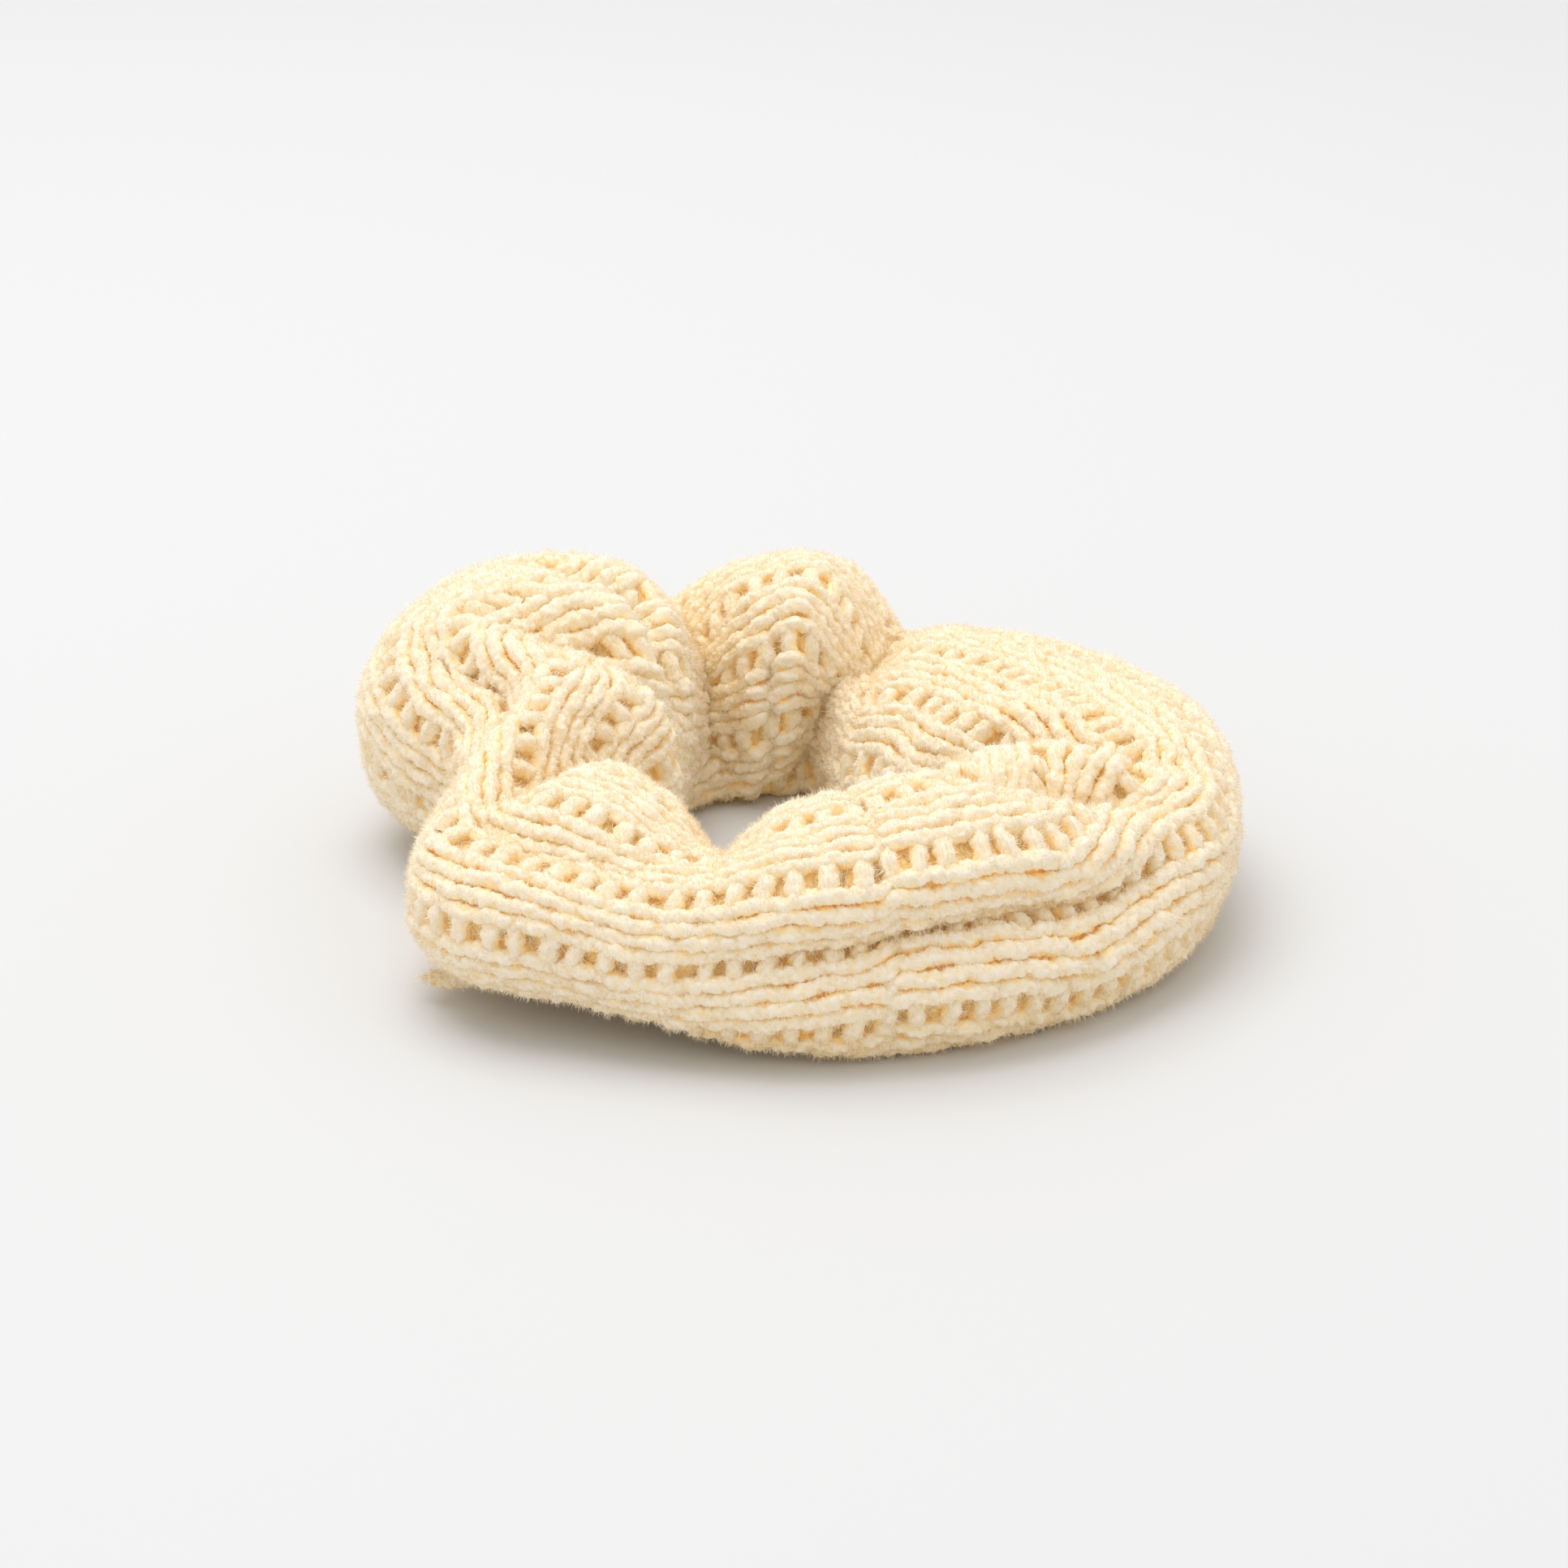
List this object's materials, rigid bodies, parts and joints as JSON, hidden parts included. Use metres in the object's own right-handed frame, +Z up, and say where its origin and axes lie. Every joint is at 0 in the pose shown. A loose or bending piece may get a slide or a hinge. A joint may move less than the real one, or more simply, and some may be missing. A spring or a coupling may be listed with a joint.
{
  "type": "scrunchie",
  "caption": "Knitted chenille scrunchie: a soft gathered fabric tube round an elastic loop, which stretches open to go round hair or a wrist and closes again.",
  "frame": {"origin": "centre of the ring's bounding box, on the surface it lies on", "axes": "+Z up along the axis of the hair hole; -Y towards the front, where the closing seam is; +X to the right seen from the front"},
  "size_m": [0.1113, 0.1106, 0.0348],
  "materials": {
    "chenille": "matte",
    "elastic": "matte",
    "thread": "matte"
  },
  "bodies": {
    "portion_start": {"sleeve_start": "chenille", "elastic_band_start": "elastic", "lengthwise_seam_start": "thread", "closing_seam_thread": "thread"},
    "portion_01": {"sleeve_01": "chenille", "elastic_band_01": "elastic", "lengthwise_seam_01": "thread"},
    "portion_02": {"sleeve_02": "chenille", "elastic_band_02": "elastic", "lengthwise_seam_02": "thread"},
    "portion_03": {"sleeve_03": "chenille", "elastic_band_03": "elastic", "lengthwise_seam_03": "thread"},
    "portion_04": {"sleeve_04": "chenille", "elastic_band_04": "elastic", "lengthwise_seam_04": "thread"},
    "portion_05": {"sleeve_05": "chenille", "elastic_band_05": "elastic", "lengthwise_seam_05": "thread"},
    "portion_06": {"sleeve_06": "chenille", "elastic_band_06": "elastic", "lengthwise_seam_06": "thread", "elastic_join_stitch": "thread"},
    "portion_07": {"sleeve_07": "chenille", "elastic_band_07": "elastic", "lengthwise_seam_07": "thread"},
    "portion_08": {"sleeve_08": "chenille", "elastic_band_08": "elastic", "lengthwise_seam_08": "thread"},
    "portion_09": {"sleeve_09": "chenille", "elastic_band_09": "elastic", "lengthwise_seam_09": "thread"},
    "portion_10": {"sleeve_10": "chenille", "elastic_band_10": "elastic", "lengthwise_seam_10": "thread", "yarn_tail": "chenille"},
    "portion_11": {"sleeve_11": "chenille", "elastic_band_11": "elastic", "lengthwise_seam_11": "thread"},
    "portion_end": {"sleeve_end": "chenille", "elastic_band_end": "elastic", "lengthwise_seam_end": "thread"}
  },
  "joints": [
    {"name": "stretch_01", "type": "slide", "parent": "portion_start", "child": "portion_01", "axis": [0.8829, 0.4695, 0], "range_m": [0, 0.00879], "stiffness_N_per_m": 200},
    {"name": "stretch_02", "type": "slide", "parent": "portion_01", "child": "portion_02", "axis": [0.5299, 0.848, 0], "range_m": [0, 0.00879], "stiffness_N_per_m": 200},
    {"name": "stretch_03", "type": "slide", "parent": "portion_02", "child": "portion_03", "axis": [0.0349, 0.9994, 0], "range_m": [0, 0.00879], "stiffness_N_per_m": 200},
    {"name": "stretch_04", "type": "slide", "parent": "portion_03", "child": "portion_04", "axis": [-0.4695, 0.8829, 0], "range_m": [0, 0.00879], "stiffness_N_per_m": 200},
    {"name": "stretch_05", "type": "slide", "parent": "portion_04", "child": "portion_05", "axis": [-0.848, 0.5299, 0], "range_m": [0, 0.00879], "stiffness_N_per_m": 200},
    {"name": "stretch_06", "type": "slide", "parent": "portion_05", "child": "portion_06", "axis": [-0.9994, 0.0349, 0], "range_m": [0, 0.00879], "stiffness_N_per_m": 200},
    {"name": "stretch_07", "type": "slide", "parent": "portion_06", "child": "portion_07", "axis": [-0.8829, -0.4695, 0], "range_m": [0, 0.00879], "stiffness_N_per_m": 200},
    {"name": "stretch_08", "type": "slide", "parent": "portion_07", "child": "portion_08", "axis": [-0.5299, -0.848, 0], "range_m": [0, 0.00879], "stiffness_N_per_m": 200},
    {"name": "stretch_09", "type": "slide", "parent": "portion_08", "child": "portion_09", "axis": [-0.0349, -0.9994, 0], "range_m": [0, 0.00879], "stiffness_N_per_m": 200},
    {"name": "stretch_10", "type": "slide", "parent": "portion_09", "child": "portion_10", "axis": [0.4695, -0.8829, 0], "range_m": [0, 0.00879], "stiffness_N_per_m": 200},
    {"name": "stretch_11", "type": "slide", "parent": "portion_10", "child": "portion_11", "axis": [0.848, -0.5299, 0], "range_m": [0, 0.00879], "stiffness_N_per_m": 200},
    {"name": "stretch_end", "type": "slide", "parent": "portion_11", "child": "portion_end", "axis": [0.9994, -0.0349, 0], "range_m": [0, 0.00879], "stiffness_N_per_m": 200}
  ],
  "couplings": [
    {"joint": "stretch_02", "follows": "stretch_01", "ratio": 1},
    {"joint": "stretch_03", "follows": "stretch_01", "ratio": 1},
    {"joint": "stretch_04", "follows": "stretch_01", "ratio": 1},
    {"joint": "stretch_05", "follows": "stretch_01", "ratio": 1},
    {"joint": "stretch_06", "follows": "stretch_01", "ratio": 1},
    {"joint": "stretch_07", "follows": "stretch_01", "ratio": 1},
    {"joint": "stretch_08", "follows": "stretch_01", "ratio": 1},
    {"joint": "stretch_09", "follows": "stretch_01", "ratio": 1},
    {"joint": "stretch_10", "follows": "stretch_01", "ratio": 1},
    {"joint": "stretch_11", "follows": "stretch_01", "ratio": 1},
    {"joint": "stretch_end", "follows": "stretch_01", "ratio": 1}
  ]
}
